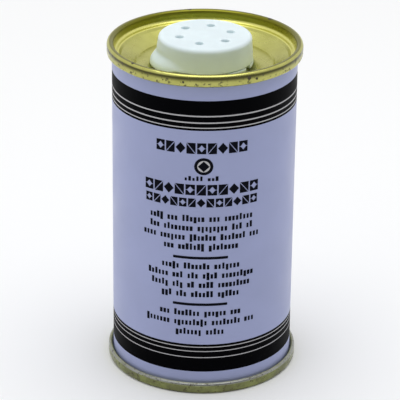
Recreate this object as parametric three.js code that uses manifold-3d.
// Talcum powder tin: a three-piece tinplate can, double seamed at both ends, with a two-piece
// plastic rotary sifter pressed into an opening in its recessed top.
//
// Millimetres, +Z up. The origin is the centre of the base, on the plane that the tin stands on.

import * as THREE from 'three';
import { mergeVertices } from 'three/addons/utils/BufferGeometryUtils.js';
import Module from 'manifold-3d';

const wasm = await Module();
wasm.setup();

// ---------------------------------------------------------------- driving dimensions

const HEIGHT = 95.7; // from the base to the top of the rim
const SEAM_RADIUS = 27; // outside of both double seams
const TOP_SEAM_HEIGHT = 3.3;
const BOTTOM_SEAM_HEIGHT = 3.15;
const BODY_RADIUS = 25.6; // outside of the cylindrical wall
const PLATE = 0.22; // thickness of the tinplate
const FIT_GAP = 0.05; // between turned faces that share an axis
const CUT_GAP = 0.25; // between a turned face and a cut or turning one

const RING_DEPTH = 3.1; // depths are from the crest of the seam to the outer face
const LEDGE_TOP_DEPTH = 3.95; // the sloping ledge's outer edge
const LEDGE_FOOT_DEPTH = 5.75; // and its inner edge, a small step above the panel
const PANEL_DEPTH = 6.15;
const RING_RADIUS = 23.8;
const LEDGE_TOP_RADIUS = 23.1;
const LEDGE_FOOT_RADIUS = 19.4;
const PANEL_RADIUS = 18.9; // the flat panel around the sifter
const APERTURE_RADIUS = 10.25; // the opening that the sifter is pressed into
const BOTTOM_GROOVE_DEPTH = 3.85;
const BOTTOM_RING_DEPTH = 3.1;
const BOTTOM_PANEL_DEPTH = 3.6;
const BOTTOM_PANEL_RADIUS = 19;

const SIFTER_TOP = HEIGHT + 1.9;
const CAP_TOP_RADIUS = 12.85;
const CAP_FOOT_RADIUS = 13.3;
const CAP_ROUND = 1.1; // the eased top edge
const FLANGE_RADIUS = 13.4;
const FLANGE_THICKNESS = 0.9;
const PLASTIC_WALL = 1;
const HOLE_COUNT = 6;
const HOLE_CIRCLE_RADIUS = 7.35;
const HOLE_RADIUS = 1.2;
const LOWER_HOLE_RADIUS = 1.35;
const FIRST_HOLE_DEG = 18;
const OPENING_TURN_DEG = 30; // from closed to open
const SIDE_SEAM_DEG = 103; // where the blank's edges lap, at the back
const SIDE_SEAM_WIDTH = 1.1;
const SIDE_SEAM_RISE = 0.1;

const SEGMENTS = 48; // shared by every turned piece, so that nested faces stay parallel
const ARC_STEPS = 1; // each quarter arc is twice as many straight stretches

// ---------------------------------------------------------------- profile helpers

const PANEL_Z = HEIGHT - PANEL_DEPTH;
const BODY_WALL = BODY_RADIUS - PLATE / 2; // these radii are all to the middle of the plate
const CHUCK_WALL = BODY_WALL - PLATE - FIT_GAP;
const OUTER_WALL = SEAM_RADIUS - PLATE / 2;
const CREST_ROUND = 0.7;
const CURL_ROUND = 0.5;
const FOLD_ROUND = 0.39;
const FOLD_DEPTH = 0.9; // centre of the body's fold
const HOOK_LENGTH = 1.7;
const BEND = 0.35; // how far the bend at a chuck wall's foot runs each way

/** A path of straight lines through [radius, depth] points. */
function pathThrough(points) {
  const [first, ...rest] = points;
  const path = new THREE.Path();
  path.moveTo(...first);
  for (const point of rest) path.lineTo(...point);
  return path;
}

/** Adds a half turn to a path as two quarter arcs. */
function halfTurn(path, r, d, radius, start, clockwise) {
  const quarter = clockwise ? -Math.PI / 2 : Math.PI / 2;
  path.absarc(r, d, radius, start, start + quarter, clockwise);
  path.absarc(r, d, radius, start + quarter, start + 2 * quarter, clockwise);
}

/** The points of a line moved sideways by the given distance, keeping its stretches parallel. */
function offsetLine(line, distance) {
  return line.map((point, i) => {
    const into = point.clone().sub(line[Math.max(i - 1, 0)]).normalize();
    const out = line[Math.min(i + 1, line.length - 1)].clone().sub(point).normalize();
    const along = into.clone().add(out).normalize();
    const normal = new THREE.Vector2(-along.y, along.x);
    const straight = i === 0 ? out : into;
    const stretch = 1 / Math.max(along.dot(straight), 0.5);
    return point.clone().addScaledVector(normal, distance * stretch);
  });
}

/** The closed outline of a bent sheet whose middle follows the path. */
function sheetOutline(path, thickness) {
  const line = path.getPoints(ARC_STEPS).filter((p, i, all) => i === 0 || p.distanceTo(all[i - 1]) > 1e-6);
  const left = offsetLine(line, thickness / 2);
  const right = offsetLine(line, -thickness / 2);
  return [...left, ...right.reverse()];
}

/** Turns a closed outline of [radius, z] points about Z. */
function turned(outline) {
  const points = outline.map((p) => (p.isVector2 ? p.clone() : new THREE.Vector2(...p)));
  const closed = points[0].x === 0 && points[points.length - 1].x === 0;
  if (THREE.ShapeUtils.area(points) < 0) points.reverse();
  if (!closed) points.push(points[0].clone());
  const geometry = new THREE.LatheGeometry(points, SEGMENTS);
  geometry.rotateX(Math.PI / 2);
  return geometry;
}

// ---------------------------------------------------------------- boolean helpers

/** A manifold solid from a closed geometry. */
function solid(geometry) {
  geometry.deleteAttribute('normal');
  geometry.deleteAttribute('uv');
  const merged = mergeVertices(geometry.index ? geometry : mergeVertices(geometry), 1e-4);
  const index = merged.index.array;
  const triangles = [];
  for (let i = 0; i < index.length; i += 3) {
    const [a, b, c] = [index[i], index[i + 1], index[i + 2]];
    if (a !== b && b !== c && c !== a) triangles.push(a, b, c);
  }
  return new wasm.Manifold(new wasm.Mesh({
    numProp: 3,
    vertProperties: new Float32Array(merged.attributes.position.array),
    triVerts: new Uint32Array(triangles),
  }));
}

/** A geometry from a manifold solid. */
function geometryOf(manifold) {
  const mesh = manifold.getMesh();
  const geometry = new THREE.BufferGeometry();
  geometry.setAttribute('position', new THREE.BufferAttribute(mesh.vertProperties, 3));
  geometry.setIndex(new THREE.BufferAttribute(mesh.triVerts, 1));
  return geometry;
}

/** An upright rod or frustum between two heights, centred at a radius and angle about Z. */
function rod(radius, zLow, zHigh, { at = 0, deg = 0, topRadius = radius, segments = 16 } = {}) {
  const geometry = new THREE.CylinderGeometry(topRadius, radius, zHigh - zLow, segments);
  geometry.rotateX(Math.PI / 2);
  geometry.translate(at, 0, (zLow + zHigh) / 2);
  geometry.rotateZ(THREE.MathUtils.degToRad(deg));
  return solid(geometry);
}

/** An upright bar between two radii and two heights, pointing outwards at an angle about Z. */
function bar(rInner, rOuter, width, zLow, zHigh, deg) {
  const geometry = new THREE.BoxGeometry(rOuter - rInner, width, zHigh - zLow);
  geometry.translate((rInner + rOuter) / 2, 0, (zLow + zHigh) / 2);
  geometry.rotateZ(THREE.MathUtils.degToRad(deg));
  return solid(geometry);
}

/** The ring of holes, as rods, turned from the closed cap's holes by the given angle. */
function holeRods(radius, zLow, zHigh, turnDeg) {
  return Array.from({ length: HOLE_COUNT }, (_, i) => {
    const deg = FIRST_HOLE_DEG + turnDeg + (i * 360) / HOLE_COUNT;
    return rod(radius, zLow, zHigh, { at: HOLE_CIRCLE_RADIUS, deg });
  });
}

// ---------------------------------------------------------------- tinplate pieces

/** Carries an end's path, in [radius, depth], over the seam's crest and into its hook. */
function addSeam(path, seamHeight) {
  const crest = CREST_ROUND + PLATE / 2;
  const curl = seamHeight - PLATE / 2 - CURL_ROUND;
  path.lineTo(CHUCK_WALL, crest);
  path.absarc(CHUCK_WALL + CREST_ROUND, crest, CREST_ROUND, Math.PI, 1.5 * Math.PI, false);
  path.absarc(OUTER_WALL - CREST_ROUND, crest, CREST_ROUND, 1.5 * Math.PI, 2 * Math.PI, false);
  halfTurn(path, OUTER_WALL - CURL_ROUND, curl, CURL_ROUND, 0, false);
  path.lineTo(OUTER_WALL - 2 * CURL_ROUND, curl + CURL_ROUND - HOOK_LENGTH);
  return path;
}

/** The bend between the flat beside a chuck wall and the wall itself. */
function chuckBend(depth) {
  return [[CHUCK_WALL - BEND, depth], [CHUCK_WALL, depth - BEND]];
}

/** The recessed top, a panel round the sifter's opening with a sloping ledge and a flat ring outside it. */
function topEnd() {
  const middle = PLATE / 2;
  const path = pathThrough([
    [APERTURE_RADIUS, PANEL_DEPTH + middle],
    [PANEL_RADIUS, PANEL_DEPTH + middle],
    [LEDGE_FOOT_RADIUS, LEDGE_FOOT_DEPTH + middle],
    [LEDGE_TOP_RADIUS, LEDGE_TOP_DEPTH + middle],
    [RING_RADIUS, RING_DEPTH + middle],
    ...chuckBend(RING_DEPTH + middle),
  ]);
  const outline = sheetOutline(addSeam(path, TOP_SEAM_HEIGHT), PLATE);
  return turned(outline.map((p) => new THREE.Vector2(p.x, HEIGHT - p.y)));
}

/** The plain bottom, with a countersunk groove and a panel stepped inwards. */
function bottomEnd() {
  const middle = PLATE / 2;
  const step = BOTTOM_PANEL_DEPTH - BOTTOM_RING_DEPTH;
  const path = pathThrough([
    [0, BOTTOM_PANEL_DEPTH + middle],
    [BOTTOM_PANEL_RADIUS, BOTTOM_PANEL_DEPTH + middle],
    [BOTTOM_PANEL_RADIUS + step, BOTTOM_RING_DEPTH + middle],
    [CHUCK_WALL - 3 * BEND, BOTTOM_RING_DEPTH + middle],
    [CHUCK_WALL - 2 * BEND, BOTTOM_GROOVE_DEPTH + middle],
    ...chuckBend(BOTTOM_GROOVE_DEPTH + middle),
  ]);
  return turned(sheetOutline(addSeam(path, BOTTOM_SEAM_HEIGHT), PLATE));
}

/** The rolled wall, folded into both seams, with the raised lap of its side seam. */
function canBody() {
  const hook = BODY_WALL + 2 * FOLD_ROUND;
  const fold = BODY_WALL + FOLD_ROUND;
  const top = HEIGHT - FOLD_DEPTH;
  const path = new THREE.Path();
  path.moveTo(hook, FOLD_DEPTH + HOOK_LENGTH);
  path.lineTo(hook, FOLD_DEPTH);
  halfTurn(path, fold, FOLD_DEPTH, FOLD_ROUND, 0, true);
  halfTurn(path, fold, top, FOLD_ROUND, Math.PI, true);
  path.lineTo(hook, top - HOOK_LENGTH);
  const wall = solid(turned(sheetOutline(path, PLATE)));
  const lapBottom = BOTTOM_SEAM_HEIGHT + CUT_GAP;
  const lapTop = HEIGHT - TOP_SEAM_HEIGHT - CUT_GAP;
  const lapOuter = BODY_RADIUS + SIDE_SEAM_RISE;
  const lap = bar(BODY_WALL, lapOuter, SIDE_SEAM_WIDTH, lapBottom, lapTop, SIDE_SEAM_DEG);
  return geometryOf(wall.add(lap));
}

const SEALANT_FROM = 1.3; // depths of the compound inside a seam
const SEALANT_TO = 2.3;

/** A ring of sealing compound inside a seam, between the body's hook and the end's outer wall. */
function seamCompound(zLow, zHigh) {
  const inner = BODY_WALL + 2 * FOLD_ROUND + PLATE / 2 + 2 * FIT_GAP;
  const outer = SEAM_RADIUS - PLATE - 2 * FIT_GAP;
  return turned([[inner, zLow], [outer, zLow], [outer, zHigh], [inner, zHigh]]);
}

// ---------------------------------------------------------------- sifter pieces

const FLANGE_BOTTOM = PANEL_Z + FIT_GAP;
const FLANGE_TOP = FLANGE_BOTTOM + FLANGE_THICKNESS;
const CAP_FOOT = FLANGE_TOP + CUT_GAP;
const CAP_CEILING = SIFTER_TOP - PLASTIC_WALL;
const DISC_TOP = CAP_CEILING - 2 * FIT_GAP;
const DISC_BOTTOM = DISC_TOP - PLASTIC_WALL;
const HUB_RADIUS = 11.4;
const SKIRT_RADIUS = APERTURE_RADIUS - CUT_GAP;
const SKIRT_LENGTH = 4.8;
const SKIRT_CHAMFER = 0.5;
const BEAD_Z = PANEL_Z - PLATE - 0.5; // the skirt's bead snaps under the edge of the opening
const BEAD_HALF_HEIGHT = 0.4;
const PIVOT_RADIUS = 1.25;
const PIVOT_HEAD_RADIUS = 1.8;
const PIVOT_HEAD_HEIGHT = 1;
const STOP_RADIUS = HUB_RADIUS + 0.45;
const STOP_HEIGHT = 3.2;
const STOP_DEG = 60;
const STOP_HALF_DEG = 3;
const RIB_HALF_DEG = 2.5;
const STOP_CLEAR_DEG = 1; // left between the stop and a rib at either end of the turn
const PRY_NOTCH = { deg: -27, width: 2.5, depth: 1 };
const THUMB_LUG = { deg: 195, offset: 5.2, footRadius: 10.25, topRadius: 8.9, top: CAP_FOOT + 1.8 };
const OVERCUT = 1; // how far a cutting solid runs past the face that it cuts

/** The width of a bar that fills the given half angle at the stop's radius. */
function stopWidth(halfDeg) {
  return 2 * STOP_RADIUS * Math.sin(THREE.MathUtils.degToRad(halfDeg));
}

/** The fixed half: a plug with a flange, a hub and a disc with the lower ring of holes. */
function sifterBase() {
  const bore = PIVOT_RADIUS + CUT_GAP;
  const skirtBottom = FLANGE_BOTTOM - SKIRT_LENGTH;
  const plug = solid(turned([
    [bore, DISC_TOP],
    [HUB_RADIUS, DISC_TOP],
    [HUB_RADIUS, FLANGE_TOP],
    [FLANGE_RADIUS, FLANGE_TOP],
    [FLANGE_RADIUS, FLANGE_BOTTOM],
    [SKIRT_RADIUS, FLANGE_BOTTOM],
    [SKIRT_RADIUS, BEAD_Z + BEAD_HALF_HEIGHT],
    [APERTURE_RADIUS - FIT_GAP, BEAD_Z],
    [SKIRT_RADIUS, BEAD_Z - BEAD_HALF_HEIGHT],
    [SKIRT_RADIUS, skirtBottom + SKIRT_CHAMFER],
    [SKIRT_RADIUS - SKIRT_CHAMFER, skirtBottom],
    [SKIRT_RADIUS - PLASTIC_WALL, skirtBottom],
    [SKIRT_RADIUS - PLASTIC_WALL, FLANGE_BOTTOM],
    [HUB_RADIUS - PLASTIC_WALL, FLANGE_TOP],
    [HUB_RADIUS - PLASTIC_WALL, DISC_BOTTOM],
    [bore, DISC_BOTTOM],
  ]));
  const stop = bar(
    HUB_RADIUS - PLASTIC_WALL / 2,
    STOP_RADIUS,
    stopWidth(STOP_HALF_DEG),
    FLANGE_TOP - FLANGE_THICKNESS / 2,
    FLANGE_TOP + STOP_HEIGHT,
    STOP_DEG,
  );
  const notch = bar(
    FLANGE_RADIUS - PRY_NOTCH.depth,
    FLANGE_RADIUS + OVERCUT,
    PRY_NOTCH.width,
    FLANGE_BOTTOM - OVERCUT,
    FLANGE_TOP + CUT_GAP,
    PRY_NOTCH.deg,
  );
  const holes = holeRods(LOWER_HOLE_RADIUS, DISC_BOTTOM - OVERCUT, DISC_TOP + OVERCUT, OPENING_TURN_DEG);
  let base = plug.add(stop).subtract(notch);
  for (const hole of holes) base = base.subtract(hole);
  return geometryOf(base);
}

/** The snap stud under the cap, whose head holds it to the base's disc. */
function pivotStud() {
  const root = CAP_CEILING + PLASTIC_WALL / 4;
  const headTop = DISC_BOTTOM - CUT_GAP;
  const headBottom = headTop - PIVOT_HEAD_HEIGHT;
  return solid(turned([
    [0, root],
    [PIVOT_RADIUS, root],
    [PIVOT_RADIUS, headTop],
    [PIVOT_HEAD_RADIUS, headTop - PIVOT_HEAD_HEIGHT / 6],
    [PIVOT_RADIUS, headBottom],
    [0, headBottom],
  ]));
}

/** The cap's thumb lug, which reaches down outside the base's flange. */
function thumbLug() {
  const lug = rod(THUMB_LUG.footRadius, FLANGE_BOTTOM + CUT_GAP, THUMB_LUG.top, {
    at: THUMB_LUG.offset,
    deg: THUMB_LUG.deg,
    topRadius: THUMB_LUG.topRadius,
    segments: 40,
  });
  const flangeRoom = solid(turned([
    [0, CAP_FOOT],
    [FLANGE_RADIUS + CUT_GAP, CAP_FOOT],
    [FLANGE_RADIUS + CUT_GAP, FLANGE_BOTTOM - OVERCUT],
    [0, FLANGE_BOTTOM - OVERCUT],
  ]));
  return lug.subtract(flangeRoom);
}

/** The ribs inside the cap that meet the base's stop when the cap is closed and when it is open. */
function stopRibs() {
  const turn = STOP_HALF_DEG + STOP_CLEAR_DEG + RIB_HALF_DEG;
  return [STOP_DEG + turn, STOP_DEG - turn - OPENING_TURN_DEG].map((deg) => bar(
    HUB_RADIUS + CUT_GAP,
    CAP_TOP_RADIUS - PLASTIC_WALL / 2,
    stopWidth(RIB_HALF_DEG),
    CAP_FOOT + PLASTIC_WALL / 2,
    CAP_CEILING + PLASTIC_WALL / 4,
    deg,
  ));
}

/** The turning half: a shallow cap with the upper ring of holes, a thumb lug and two stop ribs. */
function sifterCap() {
  const shell = solid(turned([
    [0, SIFTER_TOP],
    [CAP_TOP_RADIUS - CAP_ROUND, SIFTER_TOP],
    [CAP_TOP_RADIUS - CAP_ROUND / 4, SIFTER_TOP - CAP_ROUND / 4],
    [CAP_TOP_RADIUS, SIFTER_TOP - CAP_ROUND],
    [CAP_FOOT_RADIUS, CAP_FOOT],
    [0, CAP_FOOT],
  ]));
  const cavity = solid(turned([
    [0, CAP_CEILING],
    [CAP_TOP_RADIUS - PLASTIC_WALL, CAP_CEILING],
    [CAP_FOOT_RADIUS - PLASTIC_WALL, CAP_FOOT - FIT_GAP],
    [0, CAP_FOOT - FIT_GAP],
  ]));
  const holes = holeRods(HOLE_RADIUS, CAP_CEILING - OVERCUT, SIFTER_TOP + OVERCUT, 0);
  let cap = shell.add(thumbLug()).subtract(cavity).add(pivotStud());
  for (const rib of stopRibs()) cap = cap.add(rib);
  for (const hole of holes) cap = cap.subtract(hole);
  return geometryOf(cap);
}

// ---------------------------------------------------------------- the assembly

const gold = { color: 0xb3b06c, metalness: 0.9, roughness: 0.35 };
const print = { color: 0x8f93b8, metalness: 0.0, roughness: 0.4 };
const plastic = { color: 0xe4ecef, metalness: 0.0, roughness: 0.45 };
const sealant = { color: 0x8a8f86, metalness: 0.0, roughness: 0.8 };

/** A named mesh with a material of its own. */
function piece(name, geometry, finish) {
  const mesh = new THREE.Mesh(geometry, new THREE.MeshStandardMaterial(finish));
  mesh.name = name;
  return mesh;
}

const tin = new THREE.Group();
tin.add(
  piece('can_body', canBody(), print),
  piece('top_end', topEnd(), gold),
  piece('bottom_end', bottomEnd(), gold),
  piece('top_seam_compound', seamCompound(HEIGHT - SEALANT_TO, HEIGHT - SEALANT_FROM), sealant),
  piece('bottom_seam_compound', seamCompound(SEALANT_FROM, SEALANT_TO), sealant),
  piece('sifter_base', sifterBase(), plastic),
  piece('sifter_cap', sifterCap(), plastic),
);

export default tin;
